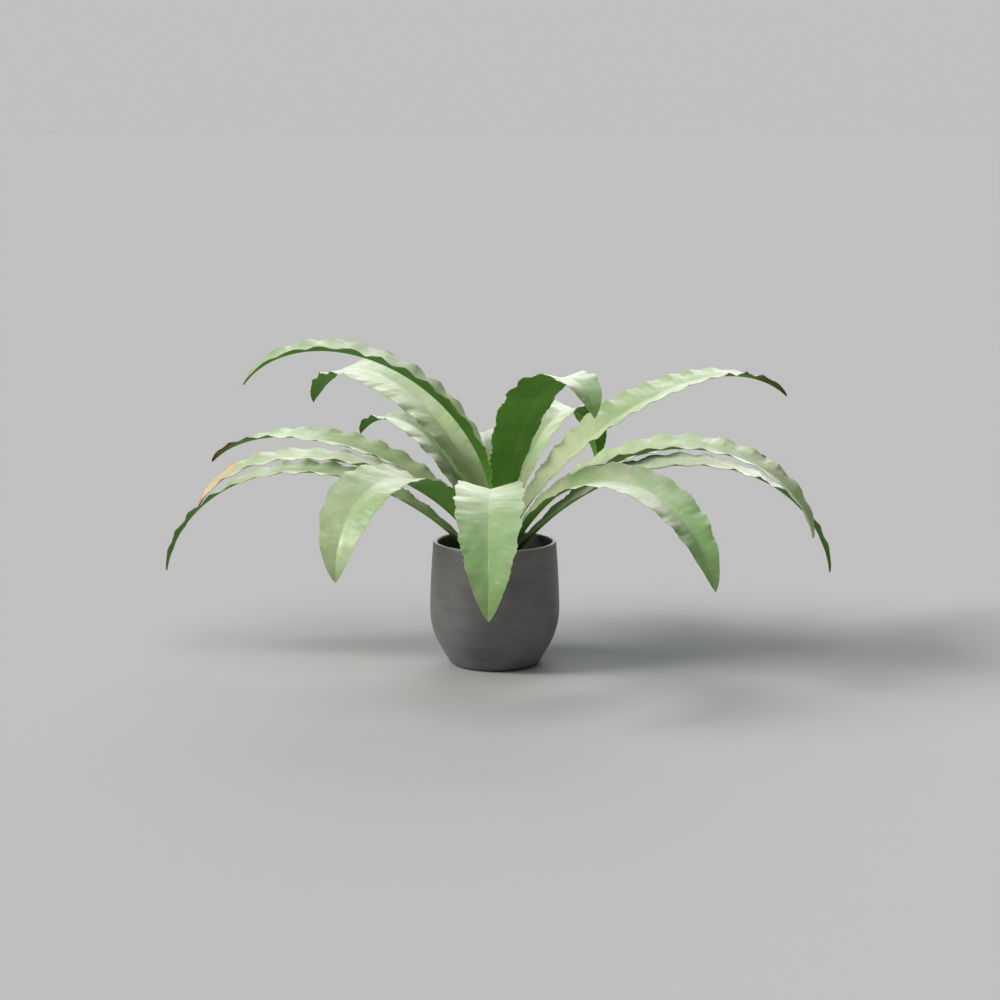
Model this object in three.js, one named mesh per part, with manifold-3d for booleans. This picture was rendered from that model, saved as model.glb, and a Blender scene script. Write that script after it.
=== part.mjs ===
// A bird's nest fern in a round stoneware pot.
// Millimetres, +Z up. The origin is the centre of the pot's foot, on the surface that it stands on.
// Seen from the front of the plant, +X is to the right and +Y to the back.
import * as THREE from "three";
import { mergeVertices } from "three/addons/utils/BufferGeometryUtils.js";
import Module from "manifold-3d";

// The pot: a cone from the foot, a round shoulder, and a wall that leans in a little to the rim
const POT_HEIGHT = 144;
const POT_RADIUS = 75;
const POT_RIM_RADIUS = 71.3;
const POT_FOOT_RADIUS = 50;
const POT_WALL = 5.5;
const POT_FLOOR = 8;
const SHOULDER_HEIGHT = 62;
const POT_SIDES = 60;

// The potting mix, and the rhizome that stands in it and carries the fronds
const SOIL_BELOW_RIM = 26;
const SOIL_MOUND = 1;
const SOIL_UNEVEN = 0.8;
const CROWN_RADIUS = 19;
const CROWN_ABOVE_SOIL = 17;
const CROWN_DEPTH = 30;
const GAP = 0.3; // between pieces that touch

// What all the fronds share
const STALK_WIDTH = 7;
const STALK_THICKNESS = 4;
const STALK_SHARE = 1 / 6; // of a frond's length, where the stalk has thinned into the blade
const MIDRIB_THICKNESS = 1.6;
const BLADE_THICKNESS = 0.9;
const TIP_WIDTH = 1.6;
const FOLD_AT_STALK = 44; // degrees that each half of the blade stands up from level
const ROLL_LOST = 0.6; // share of a blade's roll that is gone by its tip
const WAVE_LENGTH = 32;
const SCALLOP = 0.045; // of the half width, in and out with each wave
const STEPS_PER_WAVE = 3;

const SOIL_LEVEL = POT_HEIGHT - SOIL_BELOW_RIM;
const CROWN_TOP = SOIL_LEVEL + CROWN_ABOVE_SOIL;

// Where the fronds of each tier start, inside the crown
const TIERS = {
  low: { out: 13.5, up: SOIL_LEVEL + 2 },
  middle: { out: 10.5, up: SOIL_LEVEL + 4.5 },
  high: { out: 7, up: SOIL_LEVEL + 8 },
};

// Each frond, with its angles in degrees:
// heading from the crown (0 right, 90 back, 180 left, -90 front), and swing, its change by the tip;
// rise at the crown, hang at the tip, late for how the bend is spread (1 is even, more bends later),
// and nod, what the last third bends besides; fold, of each half of the open blade, and roll of the
// whole blade, its left margin down. Wave is how far the margins wave up and down.
const FRONDS = {
  low_front: {
    tier: "low", heading: -91.6, swing: 2, rise: 50, hang: 84, late: 1.6, nod: 0,
    length: 425, width: 74, fold: 9, roll: 0, wave: 1,
  },
  low_front_right: {
    tier: "low", heading: -31, swing: -22, rise: 68.15, hang: 77.17, late: 1.1, nod: -6,
    length: 381.73, width: 56, fold: 16, roll: -36, wave: 1.4,
  },
  low_right: {
    tier: "low", heading: 8.5, swing: 4.5, rise: 47.5, hang: 68, late: 1.3, nod: 16,
    length: 490, width: 60, fold: 6, roll: -9, wave: 2,
  },
  middle_right: {
    tier: "middle", heading: -4.5, swing: -18, rise: 60, hang: 51, late: 1.15, nod: 27,
    length: 450, width: 62, fold: 14, roll: -12, wave: 2,
  },
  middle_right_back: {
    tier: "middle", heading: 20.6, swing: 4.5, rise: 61.5, hang: 22, late: 0.82, nod: -7,
    length: 385, width: 50, fold: 8, roll: 0, wave: 1.8,
  },
  high_right: {
    tier: "high", heading: 37.6, swing: -10, rise: 64.33, hang: -2.75, late: 0.6, nod: 43.48,
    length: 504.48, width: 72, fold: 10, roll: -2, wave: 1.8,
  },
  middle_back_right: {
    tier: "middle", heading: 63, swing: 1, rise: 59, hang: 70, late: 1.9, nod: 22,
    length: 385, width: 56, fold: 20, roll: 0, wave: 1.8,
  },
  middle_back: {
    tier: "middle", heading: 95, swing: 0, rise: 60, hang: 50, late: 1.65, nod: 10,
    length: 310, width: 60, fold: 18, roll: 0, wave: 1.8,
  },
  low_left_back: {
    tier: "low", heading: 130.5, swing: 0, rise: 66, hang: 24, late: 1.45, nod: 20,
    length: 315, width: 60, fold: 14, roll: 9, wave: 1.8,
  },
  high_left_back: {
    tier: "high", heading: 137, swing: -12, rise: 90, hang: 15, late: 0.75, nod: 45,
    length: 450, width: 74, fold: 7, roll: 21, wave: 1.8,
  },
  middle_left: {
    tier: "middle", heading: 163, swing: -16, rise: 82, hang: 13, late: 0.5, nod: 29,
    length: 420, width: 66, fold: 9, roll: 6, wave: 1.9,
  },
  low_left: {
    tier: "low", heading: 170, swing: -4, rise: 41.3, hang: 71, late: 1.5, nod: 9,
    length: 471, width: 58, fold: 6, roll: 9, wave: 2,
  },
  high_left: {
    tier: "high", heading: 187, swing: 0, rise: 113, hang: 8, late: 0.7, nod: 47,
    length: 450, width: 70, fold: 15, roll: 8, wave: 2,
  },
  low_left_front: {
    tier: "low", heading: -169.5, swing: 2, rise: 80, hang: 14, late: 0.55, nod: 51,
    length: 395, width: 64, fold: 8, roll: 6, wave: 2,
  },
  low_front_left: {
    tier: "low", heading: -126, swing: 14, rise: 47.97, hang: 80.32, late: 1.93, nod: 16,
    length: 394.35, width: 74, fold: 10, roll: 13, wave: 1.2,
  },
  high_front: {
    tier: "high", heading: -56, swing: -3, rise: 77, hang: 61, late: 2.8, nod: 16,
    length: 350, width: 72, fold: 10, roll: 0, wave: 1.6,
  },
};

const wasm = await Module();
wasm.setup();

const degrees = THREE.MathUtils.degToRad;
const lerp = THREE.MathUtils.lerp;

const STONEWARE = new THREE.MeshStandardMaterial({ color: 0x6b6967, roughness: 0.85, metalness: 0 });
const SOIL = new THREE.MeshStandardMaterial({ color: 0x2b1d14, roughness: 1, metalness: 0 });
const RHIZOME = new THREE.MeshStandardMaterial({ color: 0x3b281a, roughness: 0.95, metalness: 0 });
const LEAF = new THREE.MeshStandardMaterial({ color: 0x8fae6c, roughness: 0.45, metalness: 0 });

// A closed geometry as a solid, with its shared corners merged
function solidOf(geometry) {
  const bare = geometry.clone();
  bare.deleteAttribute("normal");
  bare.deleteAttribute("uv");
  const merged = mergeVertices(bare, 1e-4);
  const vertProperties = merged.attributes.position.array;
  const triVerts = new Uint32Array(merged.index.array);
  return new wasm.Manifold(new wasm.Mesh({ numProp: 3, vertProperties, triVerts }));
}

// A solid back as a geometry
function geometryOf(solid) {
  const { vertProperties, triVerts, numProp } = solid.getMesh();
  const corners = new THREE.InterleavedBuffer(vertProperties, numProp);
  const geometry = new THREE.BufferGeometry();
  geometry.setAttribute("position", new THREE.InterleavedBufferAttribute(corners, 3, 0));
  geometry.setIndex(new THREE.BufferAttribute(triVerts, 1));
  return geometry.toNonIndexed();
}

// A profile of radii and heights, turned about the pot's axis
function turned(profile, sides) {
  return new THREE.LatheGeometry(profile, sides).rotateX(Math.PI / 2);
}

function outerWall() {
  const wall = new THREE.Path();
  wall.moveTo(POT_FOOT_RADIUS - 4, 0);
  wall.quadraticCurveTo(POT_FOOT_RADIUS, 0, POT_FOOT_RADIUS + 3.5, 4.5);
  for (const up of [0.4, 1]) {
    wall.lineTo(lerp(POT_FOOT_RADIUS + 3.5, POT_RADIUS - 10, up), lerp(4.5, SHOULDER_HEIGHT * 0.4, up));
  }
  wall.quadraticCurveTo(POT_RADIUS - 1, SHOULDER_HEIGHT * 0.66, POT_RADIUS, SHOULDER_HEIGHT);
  const bulge = SHOULDER_HEIGHT * 1.4;
  wall.quadraticCurveTo(POT_RADIUS + 0.2, bulge, POT_RIM_RADIUS, POT_HEIGHT - POT_WALL / 2);
  return wall.getPoints(4);
}

// The inside of the pot from the rim down to the middle of its floor, or a lining that stands clear of it
function innerWall(clear) {
  const wall = outerWall()
    .filter((point) => point.y > POT_FLOOR + 4)
    .map((point) => new THREE.Vector2(point.x - POT_WALL - clear, point.y))
    .reverse();
  const corner = new THREE.Vector2(wall.at(-1).x - 3, POT_FLOOR + clear);
  return [...wall, corner, new THREE.Vector2(0, POT_FLOOR + clear)];
}

function makePot() {
  const middle = POT_RIM_RADIUS - POT_WALL / 2;
  const lip = new THREE.Path().absarc(middle, POT_HEIGHT - POT_WALL / 2, POT_WALL / 2, 0, Math.PI);
  const outside = [new THREE.Vector2(0, 0), ...outerWall()];
  return turned([...outside, ...lip.getPoints(6).slice(1, -1), ...innerWall(0)], POT_SIDES);
}

// The crown is a stout cone with a round top, and a margin makes it the hole that it stands in
function crownBody(margin) {
  const foot = SOIL_LEVEL - CROWN_DEPTH - margin;
  const top = CROWN_TOP + margin;
  const radius = CROWN_RADIUS + margin;
  const side = new THREE.Path();
  side.moveTo(radius * 0.7, foot);
  side.lineTo(radius, SOIL_LEVEL);
  side.bezierCurveTo(radius, SOIL_LEVEL + 9, radius * 0.6, top, 0, top);
  return turned([new THREE.Vector2(0, foot), ...side.getPoints(7)], 24);
}

// The potting mix lines the pot up to its level, mounded towards the crown and a little uneven
function makeSoil(crownHole) {
  const lining = innerWall(GAP).reverse();
  const cavity = turned([...lining, new THREE.Vector2(0, lining.at(-1).y)], POT_SIDES);
  const heap = turned(
    [
      new THREE.Vector2(0, 0),
      new THREE.Vector2(POT_RADIUS, 0),
      new THREE.Vector2(POT_RADIUS, SOIL_LEVEL),
      new THREE.Vector2(POT_RADIUS * 0.6, SOIL_LEVEL + SOIL_MOUND * 0.3),
      new THREE.Vector2(CROWN_RADIUS * 1.6, SOIL_LEVEL + SOIL_MOUND),
      new THREE.Vector2(0, SOIL_LEVEL + SOIL_MOUND),
    ],
    20,
  );
  const corners = heap.attributes.position;
  for (let i = 0; i < corners.count; i++) {
    const around = Math.atan2(corners.getY(i), corners.getX(i));
    const out = Math.hypot(corners.getX(i), corners.getY(i));
    const uneven = Math.sin(3 * around + out / 9) + Math.cos(5 * around - out / 14);
    if (corners.getZ(i) > SOIL_LEVEL / 2) {
      corners.setZ(i, corners.getZ(i) + (SOIL_UNEVEN * uneven * out) / POT_RADIUS);
    }
  }
  return geometryOf(solidOf(cavity).intersect(solidOf(heap)).subtract(crownHole));
}

// Which way a frond's midrib runs at a place along it, from 0 at the crown to 1 at the tip
function runOf(frond, along) {
  const heading = degrees(frond.heading + frond.swing * along ** 2);
  const bend = (frond.rise + frond.hang) * along ** frond.late + frond.nod * along ** 6;
  const climb = degrees(frond.rise - bend);
  const level = new THREE.Vector3(Math.cos(heading), Math.sin(heading), 0);
  const left = new THREE.Vector3(-level.y, level.x, 0);
  const ahead = level.multiplyScalar(Math.cos(climb)).setZ(Math.sin(climb));
  const turn = Math.sin((Math.PI / 2) * Math.min(1, along * 4)) * (1 - ROLL_LOST * along);
  const roll = degrees(-frond.roll) * turn;
  left.applyAxisAngle(ahead, roll);
  return { ahead, left, above: ahead.clone().cross(left) };
}

// The midrib's places from the crown out, each with its blade's left and upward directions
function midribOf(frond, steps) {
  const { out, up } = TIERS[frond.tier];
  const start = degrees(frond.heading);
  const here = new THREE.Vector3(out * Math.cos(start), out * Math.sin(start), up);
  const places = [];
  for (let i = 0; i <= steps; i++) {
    const along = i / steps;
    const { left, above } = runOf(frond, along);
    places.push({ along, middle: here.clone(), left, above });
    here.addScaledVector(runOf(frond, (i + 0.5) / steps).ahead, frond.length / steps);
  }
  return places;
}

// Half the blade's width: a stalk that opens into a long leaf, widest past its middle and then pointed
function halfWidth(frond, along) {
  const widest = 0.2539;
  const leaf = (along ** 1.25 * (1 - along) ** 0.8) / widest;
  return Math.max(Math.hypot(STALK_WIDTH * (1 - along), frond.width * leaf), TIP_WIDTH) / 2;
}

// A frond: a blade folded up on both sides of its midrib, with margins that wave out of step
function makeFrond(frond, number) {
  const waves = Math.round(frond.length / WAVE_LENGTH);
  const corners = [];
  for (const { along, middle, left, above } of midribOf(frond, waves * STEPS_PER_WAVE)) {
    const half = halfWidth(frond, along);
    const open = Math.min(1, along * 1.6) ** 0.7;
    const fold = degrees(lerp(FOLD_AT_STALK, frond.fold, open));
    const swell = Math.min(1, along * 3, (1 - along) * 6);
    const thin = Math.min(1, along / STALK_SHARE);
    const rib = lerp(STALK_THICKNESS, MIDRIB_THICKNESS, thin);
    const edge = lerp(STALK_THICKNESS * 0.7, BLADE_THICKNESS, thin);
    const margin = (side) => {
      const turn = 2 * Math.PI * (waves * along + number / 4 + side / 4);
      const reach = half * (1 + SCALLOP * swell * Math.cos(turn));
      return middle
        .clone()
        .addScaledVector(left, side * reach * Math.cos(fold))
        .addScaledVector(above, reach * Math.sin(fold) + frond.wave * swell * Math.sin(turn));
    };
    const face = [margin(-1), middle, margin(1)];
    const back = face.map((point, i) => point.clone().addScaledVector(above, i === 1 ? -rib : -edge));
    corners.push(...face, ...back.reverse());
  }
  return loftOf(corners);
}

// A closed blade through sections of six corners: the face from one margin to the other, then the back.
// The quads of face and back are split along the same diagonals, so that the blade keeps its thickness.
function loftOf(corners) {
  const section = 6;
  const triangles = [];
  const last = corners.length - section;
  for (let start = 0; start < last; start += section) {
    for (let i = 0; i < section; i++) {
      const a = start + i;
      const b = start + ((i + 1) % section);
      const [c, d] = [a + section, b + section];
      if (i === 1 || i === 4 || i === 5) triangles.push(a, d, b, a, c, d);
      else triangles.push(a, c, b, b, c, d);
    }
  }
  for (const [a, b, c] of [[0, 1, 5], [1, 4, 5], [1, 2, 4], [2, 3, 4]]) {
    triangles.push(a, b, c, last + c, last + b, last + a);
  }
  const geometry = new THREE.BufferGeometry().setFromPoints(corners);
  geometry.setIndex(triangles);
  return geometry;
}

const fern = new THREE.Group();
fern.name = "potted_fern";

function add(name, geometry, material) {
  const mesh = new THREE.Mesh(geometry, material);
  mesh.name = name;
  fern.add(mesh);
}

const crownHole = solidOf(crownBody(GAP));

add("pot", makePot(), STONEWARE);
add("potting_mix", makeSoil(crownHole), SOIL);
add("crown", crownBody(0), RHIZOME);
Object.entries(FRONDS).forEach(([name, frond], number) => {
  add("frond_" + name, geometryOf(solidOf(makeFrond(frond, number)).subtract(crownHole)), LEAF);
});

export default fern;
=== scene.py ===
# A bird's nest fern in a round stoneware pot: the finish of every piece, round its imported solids.
# Metres, +Z up. The front of the plant looks along -Y, and +X is to the right of it.
import math
import random

import bpy
from mathutils import Euler, Matrix, Quaternion, Vector, noise


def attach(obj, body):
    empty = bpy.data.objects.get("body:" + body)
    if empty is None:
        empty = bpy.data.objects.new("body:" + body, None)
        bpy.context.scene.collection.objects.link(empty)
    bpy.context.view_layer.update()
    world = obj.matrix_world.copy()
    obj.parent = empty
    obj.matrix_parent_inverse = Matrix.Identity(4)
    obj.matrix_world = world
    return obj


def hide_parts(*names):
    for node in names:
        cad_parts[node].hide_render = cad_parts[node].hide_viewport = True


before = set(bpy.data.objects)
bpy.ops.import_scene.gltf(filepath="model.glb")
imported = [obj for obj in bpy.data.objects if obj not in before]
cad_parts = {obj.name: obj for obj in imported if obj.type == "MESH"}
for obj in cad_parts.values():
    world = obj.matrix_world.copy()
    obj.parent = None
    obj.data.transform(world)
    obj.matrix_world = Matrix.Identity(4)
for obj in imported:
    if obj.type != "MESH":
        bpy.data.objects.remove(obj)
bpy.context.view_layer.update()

MM = 0.001

# The camera: a short telephoto at the height of the fronds, as far back as the photograph shows
CAMERA_BACK = 2720 * MM
CAMERA_ABOVE = 9.1  # degrees
CAMERA_SIGHT = 400  # metres, past the far edge of the floor
LOOK_AT = Vector((0, 0, 190 * MM))
LENS = 85.0  # mm
SENSOR = 36.0  # mm
LENS_SHIFT = (0.0053, 0.0011)  # shares of the picture's width

# The studio
FLOOR_RADIUS = 150  # metres, so that its edge is lost at the horizon
FLOOR_TONE = "#AEAEAE"
# The walls' tones, by how high they stand above the horizon: 0 is level with it, 1 is overhead
WALL_TONES = [(0.0, "#C0C0C0"), (0.07, "#C0C0C0"), (0.18, "#4C4E50"), (1.0, "#4C4E50")]
# Each lamp: the direction that it stands in, its strength, its width in degrees, and its colour
LAMPS = {
    "key": ((-0.9, -0.1, 0.62), 3.35, 26, "#FFFEFB"),
    "top": ((-0.05, -0.35, 0.95), 1.15, 50, "#FFFFFF"),
    "back": ((0.1, 1.0, 0.5), 1.65, 45, "#FAFCFF"),
}

# The plant's driving sizes, as in its solids
POT_HEIGHT = 144 * MM
POT_RADIUS = 75 * MM
POT_RIM_RADIUS = 71.3 * MM
POT_FOOT_RADIUS = 50 * MM
POT_WALL = 5.5 * MM
POT_FLOOR = 8 * MM
SHOULDER_HEIGHT = 62 * MM
SOIL_LEVEL = 118 * MM
CROWN_RADIUS = 19 * MM
CROWN_TOP = 135 * MM
CROWN_DEPTH = 30 * MM
STALK_WIDTH = 7 * MM
STALK_THICKNESS = 4 * MM
STALK_SHARE = 1 / 6  # of a frond's length, where the stalk has thinned into the blade
STALK_EDGE = 0.7 * STALK_THICKNESS
MIDRIB_THICKNESS = 1.6 * MM
BLADE_THICKNESS = 0.9 * MM
BLADE_SPREAD = 1.25  # how late a blade reaches its width
BLADE_TAPER = 0.8  # how late it narrows to its tip
BLADE_PEAK = 0.2539  # the most that these two come to, where a blade has its full width
FOLD_AT_STALK = 44  # degrees that each half of the blade stands up from level
FOLD_OPENS = 1.6  # how soon the fold opens to the blade's own
ROLL_SETTLES = 0.25  # share of a frond's length over which its roll sets in
ROLL_LOST = 0.6  # share of a blade's roll that is gone by its tip
NOD_LATE = 6  # how late a tip nods
WAVE_LENGTH = 32 * MM
SCALLOP = 0.045  # of the half width, in and out with each wave
WAVES_SET_IN = 3  # how soon the waves reach their height from the crown
FADE_AT_TIP = 6  # how late they fade out to the tip

# Where the fronds of each tier start, inside the crown: out from the middle, and up
TIERS = {
    "low": (13.5 * MM, SOIL_LEVEL + 2 * MM),
    "middle": (10.5 * MM, SOIL_LEVEL + 4.5 * MM),
    "high": (7 * MM, SOIL_LEVEL + 8 * MM),
}

# Each frond, in degrees and millimetres, as in its solid: heading (0 right, 90 back, 180 left), and
# swing, its change by the tip; rise at the crown, hang at the tip, late for how the bend is spread,
# and nod, what the last third bends besides; fold of each half, and roll of the whole blade; wave,
# the height of its margins' waves. Then its looks: dried, the share of its length that has dried;
# tone, from -1 where it greens towards the tip, partly as painted shade on the hanging tips, to 1
# where it is pale all over; and painted_sheen, how white a painted sheen makes it where it lies
# level
FRONDS = {
    "low_front": dict(
        tier="low", heading=-91.6, swing=2, rise=50, hang=84, late=1.6, nod=0,
        length=425, width=74, fold=9, roll=0, wave=1, dried=0.0, tone=-0.6, painted_sheen=0.2,
    ),
    "low_front_right": dict(
        tier="low", heading=-31, swing=-22, rise=68.15, hang=77.17, late=1.1, nod=-6,
        length=381.73, width=56, fold=16, roll=-36, wave=1.4, dried=0.0, tone=-1.0, painted_sheen=1.0,
    ),
    "low_right": dict(
        tier="low", heading=8.5, swing=4.5, rise=47.5, hang=68, late=1.3, nod=16,
        length=490, width=60, fold=6, roll=-9, wave=2, dried=0.01, tone=0.1, painted_sheen=0.9,
    ),
    "middle_right": dict(
        tier="middle", heading=-4.5, swing=-18, rise=60, hang=51, late=1.15, nod=27,
        length=450, width=62, fold=14, roll=-12, wave=2, dried=0.0, tone=0.3, painted_sheen=0.5,
    ),
    "middle_right_back": dict(
        tier="middle", heading=20.6, swing=4.5, rise=61.5, hang=22, late=0.82, nod=-7,
        length=385, width=50, fold=8, roll=0, wave=1.8, dried=0.05, tone=0.2, painted_sheen=0.3,
    ),
    "high_right": dict(
        tier="high", heading=37.6, swing=-10, rise=64.33, hang=-2.75, late=0.6, nod=43.48,
        length=504.48, width=72, fold=10, roll=-2, wave=1.8, dried=0.1, tone=-0.1, painted_sheen=0.0,
    ),
    "middle_back_right": dict(
        tier="middle", heading=63, swing=1, rise=59, hang=70, late=1.9, nod=22,
        length=385, width=56, fold=20, roll=0, wave=1.8, dried=0.0, tone=-0.5, painted_sheen=0.2,
    ),
    "middle_back": dict(
        tier="middle", heading=95, swing=0, rise=60, hang=50, late=1.65, nod=10,
        length=310, width=60, fold=18, roll=0, wave=1.8, dried=0.0, tone=0.5, painted_sheen=0.3,
    ),
    "low_left_back": dict(
        tier="low", heading=130.5, swing=0, rise=66, hang=24, late=1.45, nod=20,
        length=315, width=60, fold=14, roll=9, wave=1.8, dried=0.03, tone=-0.6, painted_sheen=0.3,
    ),
    "high_left_back": dict(
        tier="high", heading=137, swing=-12, rise=90, hang=15, late=0.75, nod=45,
        length=450, width=74, fold=7, roll=21, wave=1.8, dried=0.01, tone=0.4, painted_sheen=0.35,
    ),
    "middle_left": dict(
        tier="middle", heading=163, swing=-16, rise=82, hang=13, late=0.5, nod=29,
        length=420, width=66, fold=9, roll=6, wave=1.9, dried=0.08, tone=-0.5, painted_sheen=0.0,
    ),
    "low_left": dict(
        tier="low", heading=170, swing=-4, rise=41.3, hang=71, late=1.5, nod=9,
        length=471, width=58, fold=6, roll=9, wave=2, dried=0.02, tone=0.2, painted_sheen=0.2,
    ),
    "high_left": dict(
        tier="high", heading=187, swing=0, rise=113, hang=8, late=0.7, nod=47,
        length=450, width=70, fold=15, roll=8, wave=2, dried=0.015, tone=0.0, painted_sheen=0.25,
    ),
    "low_left_front": dict(
        tier="low", heading=-169.5, swing=2, rise=80, hang=14, late=0.55, nod=51,
        length=395, width=64, fold=8, roll=6, wave=2, dried=0.2, tone=0.3, painted_sheen=0.0,
    ),
    "low_front_left": dict(
        tier="low", heading=-126, swing=14, rise=47.97, hang=80.32, late=1.93, nod=16,
        length=394.35, width=74, fold=10, roll=13, wave=1.2, dried=0.0, tone=0.7, painted_sheen=0.15,
    ),
    "high_front": dict(
        tier="high", heading=-56, swing=-3, rise=77, hang=61, late=2.8, nod=16,
        length=350, width=72, fold=10, roll=0, wave=1.6, dried=0.0, tone=-0.1, painted_sheen=0.25,
    ),
}

# What the fine blades have besides
TIP_WIDTH = 0.9 * MM
STEP_LENGTH = 2.1 * MM  # of the faces along a blade
ACROSS = 26  # faces from margin to margin
SCALLOP_RISE = 0.35  # share of a wave's length over which the margin goes out
RUFFLE_LENGTH = 13 * MM
RUFFLE_HEIGHT = 0.55 * MM
TOOTH_LENGTH = 8.5 * MM
TOOTH_DEPTH = 1.3 * MM
TOOTH_RISE = 0.3  # share of a tooth's length over which the margin goes out
CROWN_TEETH = 1.5  # how much deeper the teeth are at the crown
CROWN_TEETH_END = 0.45  # share of a frond's length where that is gone
BARE_STALK = 0.1  # share of a frond's length that has no teeth
PLEAT_LENGTH = 10 * MM
PLEAT_HEIGHT = 0.08 * MM
BUCKLE_LENGTH = 19 * MM
BUCKLE_WIDTH = 13 * MM
BUCKLE_HEIGHT = 0.8 * MM
VEIN_SLANT = 0.32  # along the blade for each step out from the midrib
VEIN_SPACING = 2.8 * MM  # real side veins lie about 1 mm apart, and this is as fine as shows
VEIN_WAVER = 5 * MM
STREAK_SHAPE = 3.2  # how many times as long as wide the streaks along the veins are
KEEL_WIDTH = 1.7 * MM  # of the midrib's ridge under the blade
MARGIN_THINNED = 0.45  # share of the blade's thickness that is gone at its margin

# How the patterns along a margin stray from regular: by how much, along what length, and which
# track of the noise they follow. A place strays by shares of its pattern's length, and the pleats'
# by metres
STRAYS = {
    "wave_place": (0.16, 50 * MM, 0.5),
    "wave_size": (0.6, 40 * MM, 7.7),
    "tooth_place": (1.2, 30 * MM, 3.7),
    "tooth_size": (1, 14 * MM, 9.1),
    "ruffle_place": (0.8, 35 * MM, 6.2),
    "ruffle_size": (1, 50 * MM, 1.9),
    "pleat_place": (2 * MM, 25 * MM, 4.4),
}

# How a blade dries, in shares of its length and of its half width
UNDER_DRIED = 1.8  # how many times as far from the tip the underside has dried as the upper side
DRY_BORDER = 0.08  # from green to dry
DRY_BAYS = 22  # along a blade's length, in the border of its dried tip
RIM_REACH = 3.5  # how many times as far as the tip its margins have dried
RIM_WIDTH = 0.2
RIM_BORDER = 0.1
RIM_BAYS = 24
FLECKS = 70  # along a blade's length, of which few pass the next number
FLECK_RARITY = 0.45
FLECKS_FROM = 0.35
FLECK_WIDTH = 0.05
BROWN_MOTTLES = 60  # along a blade's length
BROWN_TIP = 0.004

# The painted sheen is a whitening painted on what lies level: it starts where a face's normal is
# this upright, and how much further upright it is full
PAINTED_SHEEN_STARTS = 0.62
PAINTED_SHEEN_FILLS = 0.32

# What the pot, the mix in it and the crown have besides
POT_SIDES = 192
WALL_STEPS = (5, 14, 26, 52)  # up the toe, the cone, the shoulder and the side
LIP_STEPS = 12
CORNER_WIDTH = 3 * MM  # of the corner between the wall and the floor, inside
CORNER_HEIGHT = 4 * MM
HOLLOW_DEPTH = 1.2 * MM  # of the base, inside its foot ring
RING_HEIGHT = 0.16 * MM  # of the throwing lines on the pot
RING_START = 3 * MM  # above the foot
RING_SPACING = 2.6 * MM
RING_GROUPS = 7 * MM
RING_LENGTH = 90 * MM  # that a line runs round the pot before it fades
RING_END = 6 * MM  # below the lip, where the lines fade out
MIX_SIDES = 120
MIX_RINGS = 42
SOIL_MOUND = 1 * MM
MOUND_REACH = 45 * MM
LUMP_HEIGHT = 1.1 * MM
LUMP_SIZES = (9 * MM, 3.5 * MM)
CRUMBS = 260
CRUMB_LENGTHS = (3.0, 8.5)  # mm
CRUMB_WIDTHS = (0.45, 0.8)  # shares of a crumb's length
CRUMB_THICKNESSES = (0.2, 0.4)
CRUMB_TILT = 0.35  # radians, more or less
CROWN_SIDES = 72
CONE_STEPS = 8
DOME_STEPS = 20
BARK_DEPTH = 1.1 * MM
BARK_SIZES = (3 * MM, 8 * MM)
SCALES = 150
SCALE_LENGTHS = (9, 15)  # mm
SCALE_WIDTH = 0.16  # these four are shares of a scale's length
SCALE_THICKNESS = 0.03
SCALE_HOLLOW = 0.12
SCALE_CURL = 0.3
SCALE_LEANS = (75, 62)  # degrees up from level, at the soil and at the top
SCALE_SET_IN = 1.2 * MM  # how deep its foot is in the bark
SCALE_TURN = 2.39996  # radians from one scale to the next, as leaves are set on a stem

# Settings that many shader nodes share
TIMES = {"operation": "MULTIPLY"}
TIMES_PLUS = {"operation": "MULTIPLY_ADD"}
EASED = {"interpolation_type": "SMOOTHSTEP"}
COLOURS = {"data_type": "RGBA"}


# Small helpers


def lerp(a, b, share):
    return a + (b - a) * share


def clamp(x, low=0.0, high=1.0):
    return max(low, min(high, x))


def past(x, start, border):
    """0 up to a start, and 1 from where the border behind it ends"""
    return clamp((x - start) / border)


def drift(*place):
    """Smooth noise from about -1 to 1"""
    return noise.noise(Vector(place))


def zigzag(turns, rise):
    """A wave from -1 to 1 with straight flanks, that climbs for the rise share of each turn and
    crests at its end"""
    t = (turns + rise) % 1
    return 2 * t / rise - 1 if t < rise else 1 - 2 * (t - rise) / (1 - rise)


def curve(pulls, count):
    """Points along the smooth curve from the first of its pull points to the last, which it leaves
    and reaches as those between say. The first point is left out"""
    last = len(pulls) - 1
    points = []
    for i in range(1, count + 1):
        t = i / count
        weights = [math.comb(last, k) * (1 - t) ** (last - k) * t**k for k in range(last + 1)]
        points.append([sum(w * pull[axis] for w, pull in zip(weights, pulls)) for axis in (0, 1)])
    return points


def linear(hex_colour, alpha=1.0):
    """An sRGB hex colour as Blender's linear numbers"""
    parts = [int(hex_colour[i : i + 2], 16) / 255 for i in (1, 3, 5)]
    return (*[p / 12.92 if p <= 0.04045 else ((p + 0.055) / 1.055) ** 2.4 for p in parts], alpha)


def node(tree, kind, settings=None, inputs=None):
    """Adds a shader node with its settings, and with its inputs set or linked"""
    made = tree.nodes.new(kind)
    for name, value in (settings or {}).items():
        setattr(made, name, value)
    for name, value in (inputs or {}).items():
        if isinstance(value, bpy.types.NodeSocket):
            tree.links.new(value, made.inputs[name])
        else:
            made.inputs[name].default_value = value
    return made


def select_only(piece):
    bpy.ops.object.select_all(action="DESELECT")
    piece.select_set(True)
    bpy.context.view_layer.objects.active = piece


def edit_whole():
    """Opens the new primitive in edit mode, with all of it selected"""
    bpy.ops.object.mode_set(mode="EDIT")
    bpy.ops.mesh.select_all(action="SELECT")


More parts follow.
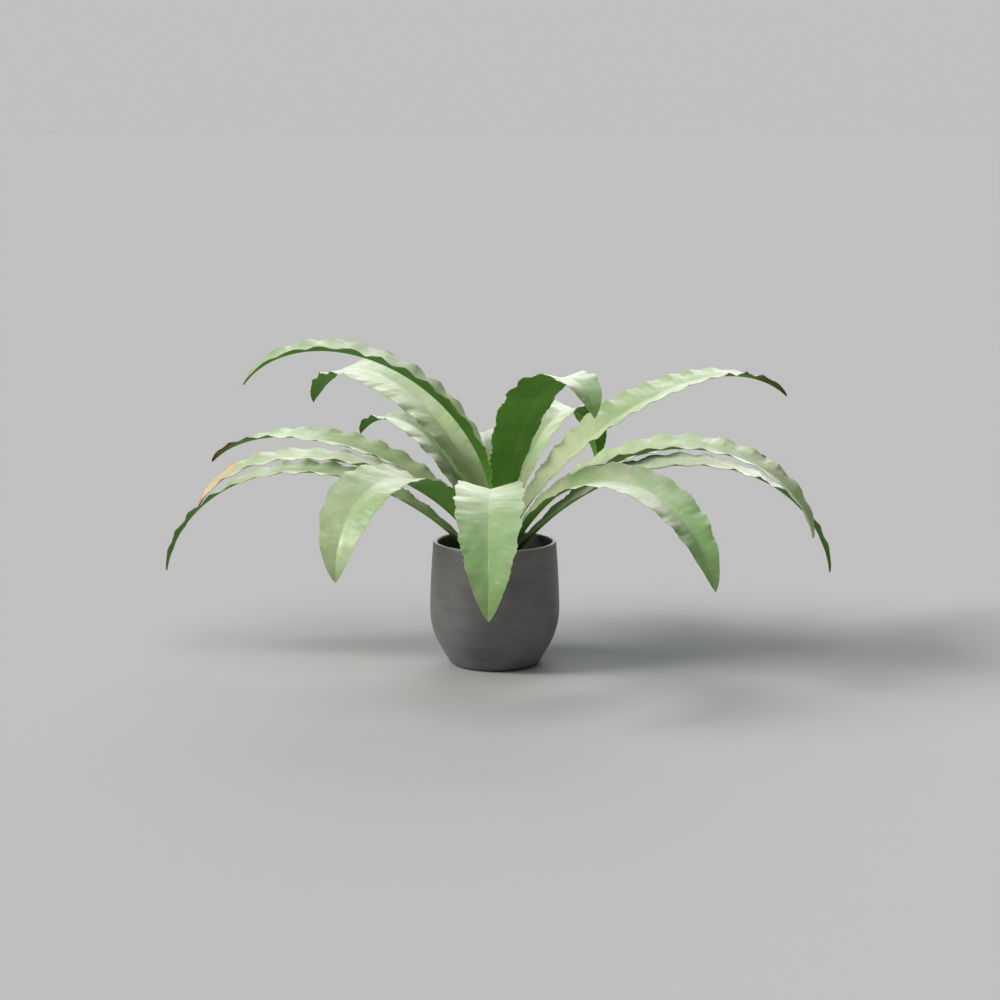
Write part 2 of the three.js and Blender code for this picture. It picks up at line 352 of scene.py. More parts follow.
def close_outwards():
    """Points all faces of the open piece outwards, and leaves edit mode"""
    bpy.ops.mesh.select_all(action="SELECT")
    bpy.ops.mesh.normals_make_consistent(inside=False)
    bpy.ops.object.mode_set(mode="OBJECT")


def smooth(piece, angle):
    """Shades a piece smooth, but for the edges that turn by more than an angle in degrees"""
    select_only(piece)
    bpy.ops.object.shade_smooth_by_angle(angle=math.radians(angle))


def wear(piece, *materials):
    piece.data.materials.clear()
    for material in materials:
        piece.data.materials.append(material)


# The camera and the studio


def place_camera():
    data = bpy.data.cameras.new("camera")
    camera = bpy.data.objects.new("camera", data)
    bpy.context.scene.collection.objects.link(camera)
    up = math.radians(CAMERA_ABOVE)
    camera.location = LOOK_AT + Vector((0, -math.cos(up), math.sin(up))) * CAMERA_BACK
    camera.rotation_euler = (LOOK_AT - camera.location).to_track_quat("-Z", "Y").to_euler()
    data.lens = LENS
    data.sensor_width = SENSOR
    data.shift_x, data.shift_y = LENS_SHIFT
    data.clip_end = CAMERA_SIGHT
    bpy.context.scene.camera = camera


def build_studio():
    bpy.ops.object.select_all(action="DESELECT")
    bpy.ops.mesh.primitive_circle_add(vertices=96, radius=FLOOR_RADIUS, fill_type="NGON")
    floor = bpy.context.object
    floor.name = "studio_floor"
    wear(floor, PALE_PAPER)

    # The walls of the studio meet the floor in its own tone, and darken towards the ceiling
    world = bpy.data.worlds.new("studio")
    world.use_nodes = True
    tree = world.node_tree
    seen = node(tree, "ShaderNodeTexCoord").outputs["Generated"]
    height = node(tree, "ShaderNodeSeparateXYZ", None, {"Vector": seen}).outputs["Z"]
    walls = node(tree, "ShaderNodeValToRGB", None, {"Fac": height})
    while len(walls.color_ramp.elements) < len(WALL_TONES):
        walls.color_ramp.elements.new(0.5)
    for element, (place, tone) in zip(walls.color_ramp.elements, WALL_TONES):
        element.position = place
        element.color = linear(tone)
    tree.links.new(walls.outputs["Color"], tree.nodes["Background"].inputs["Color"])
    bpy.context.scene.world = world
    bpy.context.scene.view_settings.view_transform = "Standard"

    # Each lamp is so far off that it lights evenly, and as wide in the sky as a soft box
    for name, (towards, strength, width, colour) in LAMPS.items():
        data = bpy.data.lights.new(name, "SUN")
        data.energy = strength
        data.angle = math.radians(width)
        data.color = linear(colour)[:3]
        lamp = bpy.data.objects.new(name, data)
        bpy.context.scene.collection.objects.link(lamp)
        lamp.rotation_euler = (-Vector(towards)).to_track_quat("-Z", "Y").to_euler()


# The fronds


def run_of(frond, along):
    """Which way a midrib runs at a place along it, with the blade's left and upward directions"""
    turn = math.radians(frond["heading"] + frond["swing"] * along**2)
    arch = (frond["rise"] + frond["hang"]) * along ** frond["late"]
    climb = math.radians(frond["rise"] - arch - frond["nod"] * along**NOD_LATE)
    level = Vector((math.cos(turn), math.sin(turn), 0))
    left = Vector((-level.y, level.x, 0))
    ahead = level * math.cos(climb) + Vector((0, 0, math.sin(climb)))
    roll = math.radians(frond["roll"]) * math.sin(math.pi / 2 * min(1, along / ROLL_SETTLES))
    left.rotate(Quaternion(ahead, -roll * (1 - ROLL_LOST * along)))
    return ahead, left, ahead.cross(left)


def sections_of(frond, steps):
    """All that a blade's shape needs at each step along its midrib, from the crown to the tip"""
    length, width = frond["length"] * MM, frond["width"] * MM
    out, up = TIERS[frond["tier"]]
    start = math.radians(frond["heading"])
    here = Vector((out * math.cos(start), out * math.sin(start), up))
    sections = []
    for i in range(steps + 1):
        along = i / steps
        _, left, above = run_of(frond, along)
        leaf = width * along**BLADE_SPREAD * (1 - along) ** BLADE_TAPER / BLADE_PEAK
        thin = min(1, along / STALK_SHARE)
        opened = min(1, along * FOLD_OPENS) ** 0.7
        sections.append(
            {
                "along": along,
                "middle": here.copy(),
                "left": left,
                "above": above,
                "half": max(math.hypot(STALK_WIDTH * (1 - along), leaf), TIP_WIDTH) / 2,
                "fold": math.radians(lerp(FOLD_AT_STALK, frond["fold"], opened)),
                "swell": min(1, along * WAVES_SET_IN, (1 - along) * FADE_AT_TIP),
                "rib": lerp(STALK_THICKNESS, MIDRIB_THICKNESS, thin),
                "edge": lerp(STALK_EDGE, BLADE_THICKNESS, thin),
            }
        )
        here += run_of(frond, (i + 0.5) / steps)[0] * (length / steps)
    return sections


def blade_point(section, across, upper, frond, number):
    """A point of the blade, and how far out from the midrib it lies. Across runs from -1 at the
    right margin, over the midrib, to 1"""
    side = 1 if across >= 0 else -1
    out = abs(across)
    along = section["along"]
    length = frond["length"] * MM
    here = along * length
    # Each margin of each frond has its own place in the noise
    own = number * 7.3 + side * 2.1
    stray = {
        name: amount * drift(here / stretch, own, track)
        for name, (amount, stretch, track) in STRAYS.items()
    }

    # The outline: scallops that go with the waves, and small teeth on the very margin
    turns = round(length / WAVE_LENGTH) * along + (number + side) / 4 + stray["wave_place"]
    full = 1 + stray["wave_size"]
    scallop = SCALLOP * full * section["swell"] * zigzag(turns, SCALLOP_RISE)
    reach = section["half"] * (1 + scallop) * out
    tooth = zigzag(here / TOOTH_LENGTH + stray["tooth_place"], TOOTH_RISE) * out**8
    deeper = 1 + CROWN_TEETH * clamp(1 - along / CROWN_TEETH_END)
    fade = clamp(FADE_AT_TIP * min(along - BARE_STALK, 1 - along))
    reach += TOOTH_DEPTH * (0.5 + stray["tooth_size"]) * deeper * fade * tooth

    # The lift: waves a quarter turn behind the scallops, ruffles, pleats along the veins, and dents
    lift = frond["wave"] * MM * full * zigzag(turns - 0.25, 0.5) * out**2
    ruffle = zigzag(here / RUFFLE_LENGTH + stray["ruffle_place"], 0.5) * out**3
    lift += RUFFLE_HEIGHT * (0.5 + stray["ruffle_size"]) * ruffle
    crease = (here - VEIN_SLANT * reach + stray["pleat_place"]) / PLEAT_LENGTH
    buckle = drift(here / BUCKLE_LENGTH, reach * side / BUCKLE_WIDTH, own)
    sag = PLEAT_HEIGHT * math.sin(2 * math.pi * crease) + BUCKLE_HEIGHT * buckle
    lift += sag * math.sin(math.pi * out**0.8)
    height = reach * math.sin(section["fold"]) + lift * section["swell"]
    if not upper:
        keel = math.exp(-((reach / KEEL_WIDTH) ** 2))
        height -= lerp(section["edge"] * (1 - MARGIN_THINNED * out**6), section["rib"], keel)
    point = section["middle"] + section["left"] * (side * reach * math.cos(section["fold"]))
    return point + section["above"] * height, side * reach


def dryness(along, across, dried, number):
    """How far a place on the blade has dried, and how far it has browned. A blade dries from its
    tip, in a rim along its margins that narrows away from the tip, and in flecks on the margins"""
    out, to_tip = abs(across), 1 - along
    own = number * 3.1
    rim_track, fleck_track = (1.3, 2.6) if across > 0 else (8.8, 5.2)
    reach = dried * (1 + 0.5 * drift(along * DRY_BAYS, across, own)) * (0.75 + 0.5 * out**2)
    dry = past(reach, to_tip, DRY_BORDER)
    rim = RIM_WIDTH * clamp(1.2 - to_tip / (RIM_REACH * dried + 0.01))
    rim *= 0.7 + 1.4 * drift(along * RIM_BAYS, own, rim_track)
    crisp = past(out + rim, 1, RIM_BORDER)
    fleck = past(drift(along * FLECKS, own, fleck_track), FLECK_RARITY, 0.25)
    fleck *= past(out, 1 - FLECK_WIDTH, FLECK_WIDTH) * past(along, FLECKS_FROM, 0.1)
    mottled = 0.6 + 0.6 * drift(along * BROWN_MOTTLES, across * 3, own + 5)
    brown = dry * (past(out, 0.55, 0.4) * mottled + past(0.2 * dried, to_tip, 0.02))
    brown = max(brown, 0.6 * crisp * past(out, 0.85, 0.15), 0.5 * fleck, 1 - to_tip / BROWN_TIP)
    return max(dry, crisp, 0.6 * fleck), clamp(brown)


def thick_sheet(name, across, along, thickness):
    """A flat sheet of faces from -1 to 1, thickened upwards by an extrusion"""
    bpy.ops.object.select_all(action="DESELECT")
    bpy.ops.mesh.primitive_grid_add(x_subdivisions=across, y_subdivisions=along, size=2)
    piece = bpy.context.object
    piece.name = name
    edit_whole()
    bpy.ops.mesh.extrude_region_move(TRANSFORM_OT_translate={"value": (0, 0, thickness)})
    close_outwards()
    return piece


def build_frond(name, frond, number):
    length = frond["length"] * MM
    steps = round(length / STEP_LENGTH)
    sections = sections_of(frond, steps)
    piece = thick_sheet("fern_frond_" + name, ACROSS, steps, 1)
    mesh = piece.data
    places = [vertex.co.copy() for vertex in mesh.vertices]
    on_blade = []
    read_by_skin = {"dry": [], "brown": [], "margin": [], "along": [], "tone": []}
    for vertex, place in zip(mesh.vertices, places):
        section = sections[round((place.y + 1) / 2 * steps)]
        along, upper = section["along"], place.z > 0.5
        vertex.co, lateral = blade_point(section, place.x, upper, frond, number)
        on_blade.append((lateral, along * length))
        dried = frond["dried"] * (1 if upper else UNDER_DRIED)
        dry, brown = dryness(along, place.x, dried, number)
        read_by_skin["dry"].append(dry)
        read_by_skin["brown"].append(brown)
        read_by_skin["margin"].append(abs(place.x))
        read_by_skin["along"].append(along)
        read_by_skin["tone"].append(frond["tone"])
    # The blade's left, length and upper side turn the other way round than the sheet's own
    mesh.flip_normals()
    mesh.update()
    # Painted sheen: each point's share of the whitening painted where the blade lies level, by how
    # upright its normal is
    read_by_skin["level"] = [
        frond["painted_sheen"] * past(vertex.normal.z, PAINTED_SHEEN_STARTS, PAINTED_SHEEN_FILLS)
        for vertex in mesh.vertices
    ]
    for attribute, values in read_by_skin.items():
        mesh.attributes.new(attribute, "FLOAT", "POINT").data.foreach_set("value", values)
    layer = mesh.uv_layers[0]
    layer.name = "blade"
    for loop in mesh.loops:
        layer.data[loop.index].uv = on_blade[loop.vertex_index]
    wear(piece, UPPER_SURFACE, UNDERSIDE)
    for face in mesh.polygons:
        face.material_index = 0 if any(places[i].z > 0.5 for i in face.vertices) else 1
    smooth(piece, 60)
    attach(piece, "root")
    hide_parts("frond_" + name)


# The pot, the potting mix and the crown


def turned_piece(name, profile, sides):
    """A closed round piece: a disc drawn along a profile of radii and heights by extrusions"""
    bpy.ops.object.select_all(action="DESELECT")
    radius, height = profile[0]
    bpy.ops.mesh.primitive_circle_add(vertices=sides, radius=radius, fill_type="NGON")
    piece = bpy.context.object
    piece.name = name
    edit_whole()
    bpy.ops.transform.translate(value=(0, 0, height))
    for wider, higher in profile[1:]:
        bpy.ops.mesh.extrude_region_move(TRANSFORM_OT_translate={"value": (0, 0, higher - height)})
        bpy.ops.transform.resize(value=(wider / radius, wider / radius, 1))
        radius, height = wider, higher
    close_outwards()
    return piece


def outer_wall():
    """The outside of the pot as radii and heights, from its foot to below its lip"""
    toe = (POT_FOOT_RADIUS - 4 * MM, 0)
    heel = (POT_FOOT_RADIUS + 3.5 * MM, 4.5 * MM)
    waist = (POT_RADIUS - 10 * MM, SHOULDER_HEIGHT * 0.4)
    shoulder = (POT_RADIUS, SHOULDER_HEIGHT)
    below_lip = (POT_RIM_RADIUS, POT_HEIGHT - POT_WALL / 2)
    stretches = [
        [toe, (POT_FOOT_RADIUS, 0), heel],
        [heel, waist],
        [waist, (POT_RADIUS - 1 * MM, SHOULDER_HEIGHT * 0.66), shoulder],
        [shoulder, (POT_RADIUS + 0.2 * MM, SHOULDER_HEIGHT * 1.4), below_lip],
    ]
    wall = [toe]
    for pulls, steps in zip(stretches, WALL_STEPS):
        wall += curve(pulls, steps)
    return wall


def inner_wall(clear):
    """The inside of the pot from its lip down to its floor, or a lining that stands clear of it"""
    wall = [(r - POT_WALL - clear, z) for r, z in outer_wall() if z > POT_FLOOR + CORNER_HEIGHT]
    return wall[::-1] + [(wall[0][0] - CORNER_WIDTH, POT_FLOOR + clear)]


def build_pot():
    half = POT_WALL / 2
    lip = []
    for i in range(1, LIP_STEPS):
        turn = math.pi * i / LIP_STEPS
        out = POT_RIM_RADIUS - half + math.cos(turn) * half
        lip.append((out, POT_HEIGHT - half + math.sin(turn) * half))
    # Inside its foot ring the base is hollowed a little
    foot = [(POT_FOOT_RADIUS - 9 * MM, HOLLOW_DEPTH), (POT_FOOT_RADIUS - 8 * MM, 0.2 * MM)]
    pot = turned_piece("stoneware_pot", foot + outer_wall() + lip + inner_wall(0), POT_SIDES)
    # Throwing lines: low rings round the wall, that fade in and out on their way round it
    for vertex in pot.data.vertices:
        x, y, z = vertex.co
        radius = math.hypot(x, y)
        if z > RING_START and radius > POT_FOOT_RADIUS:
            ring = drift(z / RING_SPACING, x / RING_LENGTH, y / RING_LENGTH)
            ring += 0.6 * drift(z / RING_GROUPS, 4.2, 0)
            inward = RING_HEIGHT * clamp(0.5 + ring, 0, 1.4) * clamp((POT_HEIGHT - z) / RING_END)
            vertex.co.x *= 1 - inward / radius
            vertex.co.y *= 1 - inward / radius
    wear(pot, STONEWARE)
    smooth(pot, 50)
    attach(pot, "root")
    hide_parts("pot")


def scattered(pattern, name, places):
    """Copies of a small piece, joined into one: each place gives a copy its size, turn and spot"""
    copies = []
    for place in places:
        copy = pattern.copy()
        copy.data = pattern.data.copy()
        copy.data.transform(place)
        bpy.context.scene.collection.objects.link(copy)
        copies.append(copy)
    bpy.data.objects.remove(pattern)
    bpy.ops.object.select_all(action="DESELECT")
    for copy in copies:
        copy.select_set(True)
    bpy.context.view_layer.objects.active = copies[0]
    bpy.ops.object.join()
    copies[0].name = name
    return copies[0]


def soil_height(x, y):
    """How high the uneven top of the potting mix lies"""
    large, small = LUMP_SIZES
    lumps = drift(x / large, y / large, 2.2) + 0.6 * drift(x / small, y / small, 6.1)
    mound = SOIL_MOUND * clamp(1.4 - math.hypot(x, y) / MOUND_REACH)
    return SOIL_LEVEL + mound + lumps * LUMP_HEIGHT


def build_potting_mix():
    lining = [(r, z) for r, z in inner_wall(0.5 * MM)[::-1] if z < SOIL_LEVEL]
    edge = lining[-1][0]
    top = [(edge * (1 - i / MIX_RINGS), SOIL_LEVEL) for i in range(MIX_RINGS)]
    mix = turned_piece("potting_mix_bed", lining + top, MIX_SIDES)
    for vertex in mix.data.vertices:
        if abs(vertex.co.z - SOIL_LEVEL) < 0.1 * MM:
            vertex.co.z = soil_height(vertex.co.x, vertex.co.y)
    wear(mix, POTTING_MIX)

    # One crumb of bark: a block with its corners knocked off and its faces broken
    bpy.ops.object.select_all(action="DESELECT")
    bpy.ops.mesh.primitive_cube_add(size=1)
    crumb = bpy.context.object
    edit_whole()
    bpy.ops.mesh.bevel(offset=0.16, segments=1)
    bpy.ops.mesh.subdivide(number_cuts=1, fractal=0.25, seed=4)
    bpy.ops.object.mode_set(mode="OBJECT")
    chance = random.Random(17)
    places = []
    for _ in range(CRUMBS):
        # The same number to each patch of the mix, from the crown out to near the wall
        out = math.sqrt(chance.uniform(0.09, 0.9)) * edge
        around = chance.uniform(0, 2 * math.pi)
        x, y = out * math.cos(around), out * math.sin(around)
        length = chance.uniform(*CRUMB_LENGTHS) * MM
        width, thickness = chance.uniform(*CRUMB_WIDTHS), chance.uniform(*CRUMB_THICKNESSES)
        size = Matrix.Diagonal((length, length * width, length * thickness, 1))
        tilt = [chance.gauss(0, CRUMB_TILT), chance.gauss(0, CRUMB_TILT), chance.uniform(0, 6.3)]
        spot = Matrix.Translation((x, y, soil_height(x, y) + 0.5 * MM))
        places.append(spot @ Euler(tilt).to_matrix().to_4x4() @ size)
    crumbs = scattered(crumb, "bark_crumbs", places)
    wear(crumbs, BARK_CRUMBS)
    smooth(mix, 60)
    for piece in (mix, crumbs):
        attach(piece, "root")
        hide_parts("potting_mix")


def crown_side():
    """The side of the crown as radii and heights: a stout cone under a round top"""
    foot = (CROWN_RADIUS * 0.7, SOIL_LEVEL - CROWN_DEPTH)
    waist = (CROWN_RADIUS, SOIL_LEVEL)
    pulls = [(CROWN_RADIUS, SOIL_LEVEL + 9 * MM), (CROWN_RADIUS * 0.6, CROWN_TOP)]
    dome = curve([waist, *pulls, (0, CROWN_TOP)], DOME_STEPS)
    return [foot] + curve([foot, waist], CONE_STEPS) + dome[:-1]


def build_crown():
    side = crown_side()
    crown = turned_piece("fern_crown", side, CROWN_SIDES)
    for vertex in crown.data.vertices:
        rough = 0.5 + sum(0.5 * drift(*(vertex.co / size)) for size in BARK_SIZES)
        outwards = Vector((vertex.co.x, vertex.co.y, 0)).normalized()
        vertex.co -= outwards * (clamp(rough) * BARK_DEPTH)
    wear(crown, RHIZOME)

    # One papery scale: a thin lance shape, hollow along its middle and curled back at its point
    scale = thick_sheet("crown_scale", 4, 10, SCALE_THICKNESS)
    for vertex in scale.data.vertices:
        across, along, above = vertex.co.x, (vertex.co.y + 1) / 2, vertex.co.z
        half = SCALE_WIDTH * (1 - along) ** 0.7 * (0.55 + 1.2 * along) + 0.004
        height = (above + SCALE_HOLLOW * across**2) * (1 - along) + SCALE_CURL * along**3
        vertex.co = Vector((across * half, along, height))
    chance = random.Random(29)
    places = []
    for i in range(SCALES):
        share = (i + 0.5) / SCALES
        at = lerp(CONE_STEPS, len(side) - 2, share)
        radius, height = (lerp(a, b, at % 1) for a, b in zip(side[int(at)], side[int(at) + 1]))
        around = i * SCALE_TURN + chance.gauss(0, 0.15)
        lean = lerp(*SCALE_LEANS, share) + chance.gauss(0, 9)
        length = chance.uniform(*SCALE_LENGTHS) * MM
        turn = Euler((math.radians(lean), chance.gauss(0, 0.25), 0)).to_matrix().to_4x4()
        facing = Matrix.Rotation(around - math.pi / 2, 4, "Z")
        out = radius - SCALE_SET_IN
        spot = Vector((out * math.cos(around), out * math.sin(around), height - 2 * MM))
        places.append(Matrix.Translation(spot) @ facing @ turn @ Matrix.Scale(length, 4))
    scales = scattered(scale, "crown_scales", places)
    wear(scales, CROWN_SCALES)
    for piece in (crown, scales):
        smooth(piece, 50)
        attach(piece, "root")
        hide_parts("crown")


# The materials


def new_material(name):
    """A new material with an empty node tree"""
    material = bpy.data.materials.new(name)
    material.use_nodes = True
    material.node_tree.nodes.clear()
    return material


def patches(tree, size, detail, low, high, stretch=(1, 1, 1), place=None):
    """Soft patches of a real size, longer where the stretch is larger: 0 where the noise is under
    low, and 1 where it is over high. They lie in the piece's own space, or as a place says"""
    if place is None:
        place = node(tree, "ShaderNodeTexCoord").outputs["Object"]
    inputs = {"Vector": place, "Scale": [1 / x for x in stretch]}
    place = node(tree, "ShaderNodeMapping", None, inputs).outputs[0]
    inputs = {"Vector": place, "Scale": 1 / size, "Detail": detail}
    cloudy = node(tree, "ShaderNodeTexNoise", None, inputs).outputs["Fac"]
    return node(tree, "ShaderNodeMapRange", EASED, {"Value": cloudy, 1: low, 2: high}).outputs[0]


def product(tree, *factors):
    """Masks and shares, multiplied together"""
    whole = factors[0]
    for factor in factors[1:]:
        whole = node(tree, "ShaderNodeMath", TIMES, {0: whole, 1: factor}).outputs[0]
    return whole


def summed(tree, total, parts):
    """A value or a mask with other masks added to it, each by its own share"""
    for mask, share in parts:
        total = node(tree, "ShaderNodeMath", TIMES_PLUS, {0: mask, 1: share, 2: total}).outputs[0]
    return total


def tinted(tree, ground, tints):
    """A ground colour with tints laid over it, each as strongly as its masks and shares allow"""
    colour = linear(ground)
    for *factors, tint in tints:
        inputs = {"Factor": product(tree, *factors), "A": colour, "B": linear(tint)}
        colour = node(tree, "ShaderNodeMix", COLOURS, inputs).outputs["Result"]
    return colour


def finished(material, inputs, relief=None, strength=0.0, depth=0.0):
    """Gives a material its shader, and its relief as a bump of a real depth"""
    tree = material.node_tree
    if relief is not None:
        raised = {"Height": relief, "Strength": strength, "Distance": depth}
        bumped = node(tree, "ShaderNodeBump", None, raised).outputs["Normal"]
        inputs = {**inputs, "Normal": bumped}
    shader = node(tree, "ShaderNodeBsdfPrincipled", None, inputs)
    node(tree, "ShaderNodeOutputMaterial", None, {"Surface": shader.outputs[0]})
    return material


def leaf_material(name, looks):
    """A fern blade's skin. Its patterns follow the blade's own map: metres out from the midrib, and
    along it"""
    skin = new_material(name)
    tree = skin.node_tree
    blade = node(tree, "ShaderNodeUVMap", {"uv_map": "blade"}).outputs["UV"]
    place = node(tree, "ShaderNodeSeparateXYZ", None, {"Vector": blade}).outputs
    out = node(tree, "ShaderNodeMath", {"operation": "ABSOLUTE"}, {0: place["X"]}).outputs[0]
    read = {
        value: node(tree, "ShaderNodeAttribute", {"attribute_name": value}).outputs["Fac"]
        for value in ("dry", "brown", "margin", "along", "tone", "level")
    }

    # Side veins run out to the margin, slanted and a little wavy
    waver = patches(tree, 18 * MM, 2.0, 0.25, 0.75)
    wavy = summed(tree, place["Y"], [(out, -VEIN_SLANT), (waver, VEIN_WAVER)])
    turns = product(tree, wavy, 2 * math.pi / VEIN_SPACING)
    veins = node(tree, "ShaderNodeMath", {"operation": "SINE"}, {0: turns}).outputs[0]

    # Each mask: what it reads, the value where it starts, and the value where it is full
    masks = {
        "vein": (veins, 0.2, 1.0),
        "rib": (out, looks["rib"], looks["rib"] * 0.55),
        "edge": (read["margin"], 0.95, 1.0),
        "outer": (read["along"], 0.45, 0.85),
        "heart": (read["along"], 0.5, 0.2),
        "stalk": (read["along"], 0.13, 0.02),
        "base": (read["along"], 0.05, 0.0),
        "dry": (read["dry"], 0.0, 1.0),
        "brown": (read["brown"], 0.1, 0.9),
    }
    for mask, (value, start, full) in masks.items():
        inputs = {"Value": value, 1: start, 2: full}
        masks[mask] = node(tree, "ShaderNodeMapRange", EASED, inputs).outputs[0]

    # The skin between the veins is drawn up in low streaks along them
    inputs = {"X": place["X"], "Y": product(tree, wavy, STREAK_SHAPE)}
    drawn = node(tree, "ShaderNodeCombineXYZ", None, inputs).outputs[0]
    streak = patches(tree, 18 * MM, 2.0, 0.38, 0.66, place=drawn)
    fleck = patches(tree, 15 * MM, 1.0, 0.56, 0.72, place=drawn)
    fleck = product(tree, fleck, patches(tree, 28 * MM, 1.0, 0.4, 0.6))
    vein = product(tree, masks["vein"], patches(tree, 26 * MM, 1.0, 0.42, 0.68))
    lightened = product(tree, patches(tree, 22 * MM, 1.0, 0.3, 0.7), looks["rib_share"])
    pale = summed(tree, 0.22, [(read["tone"], 0.22)])
    greened = summed(tree, 0.5, [(read["tone"], -0.4)])
    # Painted sheen: a whitish colour painted in patches where the blade lies level, as the light's
    # sheen whitens it
    sheen_paint_share = summed(tree, 0.42, [(patches(tree, 16 * MM, 2.0, 0.35, 0.65), 0.2)])

    colour = tinted(
        tree,
        looks["pale"],
        [
            (patches(tree, 50 * MM, 2.0, 0.38, 0.66), looks["deep"]),
            (pale, looks["palest"]),
            (patches(tree, 22 * MM, 2.0, 0.5, 0.7), 0.5, looks["warm"]),
            (patches(tree, 5 * MM, 3.0, 0.45, 0.75), 0.25, looks["mottle"]),
            # outer: deeper green towards the tip, by the frond's tone; partly the blade's own green
            # and partly painted shade on the hanging tips
            (masks["outer"], greened, looks["deep"]),
            (streak, looks["streak_share"], looks["vein"]),
            (vein, looks["vein_share"], looks["vein"]),
            (fleck, looks["fleck_share"], looks["fleck"]),
            (masks["rib"], lightened, looks["midrib"]),
            (masks["edge"], 0.2, looks["edge"]),
            # heart: painted light, paler towards the crown on the upper skin, where the fronds
            # above shade it
            (masks["heart"], 0.5, looks["heart"]),
            # painted sheen: whitish where the blade lies level
            (sheen_paint_share, read["level"], "#E4E8DC"),
            (masks["stalk"], 0.8, looks["stalk"]),
            (masks["base"], 0.9, "#33271A"),
            (masks["dry"], looks["dry"]),
            (masks["brown"], looks["brown"]),
        ],
    )
    raised = [
        (vein, 0.3),
        (streak, 0.4),
        (patches(tree, 8 * MM, 2.0, 0.3, 0.7), 1.2),
        (patches(tree, 2.2 * MM, 2.0, 0.3, 0.8), 0.5),
        (masks["rib"], looks["rib_bump"]),
    ]
    roughened = [(patches(tree, 20 * MM, 2.0, 0.3, 0.7), 0.16), (read["dry"], 0.25)]
    shader = {
        "Base Color": colour,
        "Roughness": summed(tree, looks["rough"], roughened),
        "IOR": 1.45,
        "Specular IOR Level": looks["gloss"],
        "Coat Weight": looks["coat"],
        "Coat Roughness": 0.4,
        "Sheen Weight": looks["sheen"],
        "Sheen Roughness": 0.45,
        "Sheen Tint": linear("#F6F7E2"),
    }
    return finished(skin, shader, summed(tree, 0.0, raised), looks["relief"], 0.3 * MM)


def stoneware_material():
    """Smooth grey stoneware: faintly brushed round while it turned, with fine grog, a lip painted
    pale as a painted highlight, and darker towards its foot. The brush lines and the grog are finer
    than they are drawn here, to show"""
    clay = new_material("brushed_grey_stoneware")
    tree = clay.node_tree
    solid = node(tree, "ShaderNodeTexCoord").outputs["Object"]
    height = node(tree, "ShaderNodeSeparateXYZ", None, {"Vector": solid}).outputs["Z"]
    brushed = patches(tree, 0.9 * MM, 3.0, 0.3, 0.75, (30, 30, 1))
    bands = patches(tree, 6 * MM, 2.0, 0.4, 0.7, (7, 7, 1))
    cloud = patches(tree, 30 * MM, 3.0, 0.35, 0.7)
    grog = patches(tree, 0.8 * MM, 1.0, 0.62, 0.74)
    # Painted highlight: the lip is painted paler, as the light catches its edge
    at_lip = {"Value": height, 1: POT_HEIGHT - 1.6 * MM, 2: POT_HEIGHT - 0.3 * MM}
    lightened = node(tree, "ShaderNodeMapRange", EASED, at_lip).outputs[0]
    # Darker towards the foot
    at_foot = {"Value": height, 1: 4 * MM, 2: 0.0}
    darker_at_foot = node(tree, "ShaderNodeMapRange", EASED, at_foot).outputs[0]
    tints = [
        (cloud, "#6F6D6C"),
        (bands, 0.3, "#7B7978"),
        (brushed, 0.2, "#575554"),
        (grog, 0.25, "#83817F"),
        # painted highlight on the lip
        (lightened, 0.7, "#9B9A98"),
        (darker_at_foot, 0.5, "#434241"),
    ]
    shader = {
        "Base Color": tinted(tree, "#646261", tints),
        "Roughness": summed(tree, 0.44, [(cloud, 0.1)]),
        "IOR": 1.5,
        "Specular IOR Level": 0.5,
    }
    relief = summed(tree, 0.0, [(brushed, 0.6), (grog, 0.35)])
    return finished(clay, shader, relief, 0.35, 0.1 * MM)


def crumbly_material(name, dark, mid, light, grain, roughness):
    """Dry, broken stuff: three tones in grains of a real size, with a bump to match"""
    stuff = new_material(name)
    tree = stuff.node_tree
    grains = patches(tree, grain, 4.0, 0.35, 0.7)
    clods = patches(tree, grain * 5, 2.0, 0.35, 0.7)
    shader = {
        "Base Color": tinted(tree, dark, [(clods, mid), (grains, 0.6, light)]),
        "Roughness": roughness,
        "Specular IOR Level": 0.3,
    }
    return finished(stuff, shader, grains, 0.8, grain * 0.3)


def scale_material():
    """Papery brown scales, with paler fibres along them, finer than they are drawn here, to show"""
    paper = new_material("papery_crown_scales")
    tree = paper.node_tree
    fibres = patches(tree, 0.8 * MM, 3.0, 0.35, 0.7, (1, 1, 6))
    blotches = patches(tree, 9 * MM, 2.0, 0.35, 0.65)
    shader = {
        "Base Color": tinted(tree, "#3A2617", [(blotches, "#6B4A2C"), (fibres, 0.5, "#8C6A42")]),
        "Roughness": 0.55,
        "Specular IOR Level": 0.45,
    }
    return finished(paper, shader, fibres, 0.6, 0.15 * MM)


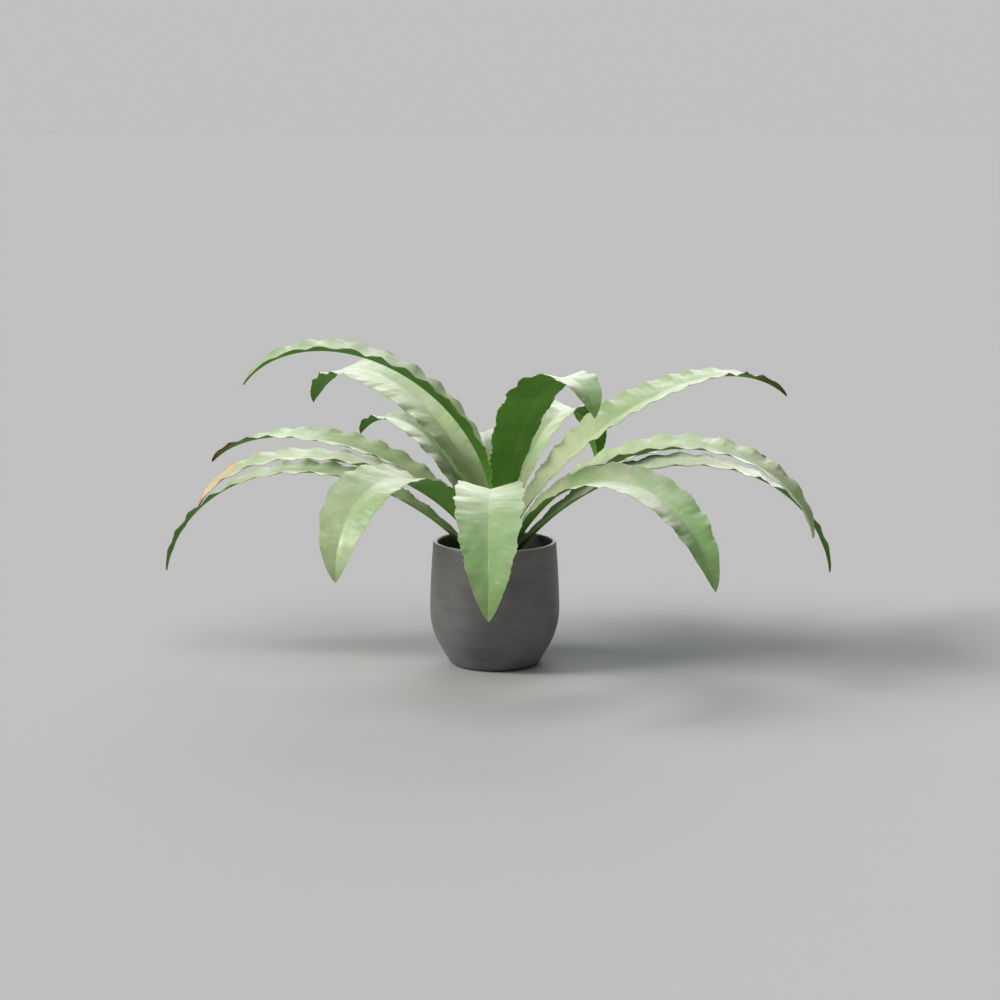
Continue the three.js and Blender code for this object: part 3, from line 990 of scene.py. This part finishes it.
# The waxy upper skin of a fern blade: pale green, with a satin gloss and a sheen that whitens where
# the light skims it, and a painted sheen that whitens it where it lies level
UPPER_SURFACE = leaf_material(
    "waxy_frond_upper_surface",
    {
        "pale": "#A3B384",
        "deep": "#6D994F",
        "palest": "#ACB88F",
        "warm": "#9CAF5A",
        "mottle": "#6E8E4B",
        "vein": "#A8B98C",
        "vein_share": 0.05,
        "streak_share": 0.1,
        "fleck": "#C6D2AE",
        "fleck_share": 0.3,
        "midrib": "#C0C49C",
        "rib_share": 0.4,
        "edge": "#B0B27C",
        # painted light: a paler green towards the crown, where the fronds above shade the blade
        "heart": "#C3CFA2",
        "stalk": "#5E7340",
        "dry": "#C6AF84",
        "brown": "#AE7842",
        "rib": 0.7 * MM,
        "rib_bump": -1.2,
        "relief": 0.4,
        "rough": 0.4,
        "gloss": 0.6,
        "coat": 0.25,
        "sheen": 0.75,
    },
)

# The matte underside, a deeper green with a keeled, paler midrib; its green is partly its own and
# partly painted light, brighter for the light that shines through the thin blade
UNDERSIDE = leaf_material(
    "matte_frond_underside",
    {
        "pale": "#649A37",
        "deep": "#528629",
        "palest": "#689A41",
        "warm": "#749D3C",
        "mottle": "#4A7926",
        "vein": "#41701F",
        "vein_share": 0.15,
        "streak_share": 0.15,
        "fleck": "#74A548",
        "fleck_share": 0.3,
        "midrib": "#7F9A55",
        "rib_share": 0.9,
        "edge": "#8A8B4C",
        "heart": "#5F9036",
        "stalk": "#3F5226",
        "dry": "#66602B",
        "brown": "#6A3D1C",
        "rib": 1.4 * MM,
        "rib_bump": 0.6,
        "relief": 0.35,
        "rough": 0.6,
        "gloss": 0.25,
        "coat": 0.0,
        "sheen": 0.0,
    },
)

STONEWARE = stoneware_material()

# Moist peat with fine bark in it: nearly black, and dull
POTTING_MIX = crumbly_material(
    "moist_peat_and_bark", "#1D140E", "#2F2118", "#4A3626", 1.6 * MM, 0.95
)

# Composted bark, drier and redder than the peat that it lies on
BARK_CRUMBS = crumbly_material(
    "composted_bark_crumbs", "#2A1B11", "#4B3320", "#6B4C30", 1.1 * MM, 0.88
)

# The rhizome's bark of old roots and leaf bases: brown, fibrous and dull
RHIZOME = crumbly_material(
    "fibrous_rhizome_bark", "#251810", "#3B281A", "#5A4028", 1.2 * MM, 0.9
)

CROWN_SCALES = scale_material()

# Seamless background paper, matte and even
PALE_PAPER = finished(
    new_material("matte_pale_paper"),
    {"Base Color": linear(FLOOR_TONE), "Roughness": 1.0, "Specular IOR Level": 0.0},
)

place_camera()
build_studio()
build_pot()
build_potting_mix()
build_crown()
for number, (name, frond) in enumerate(FRONDS.items()):
    build_frond(name, frond, number)
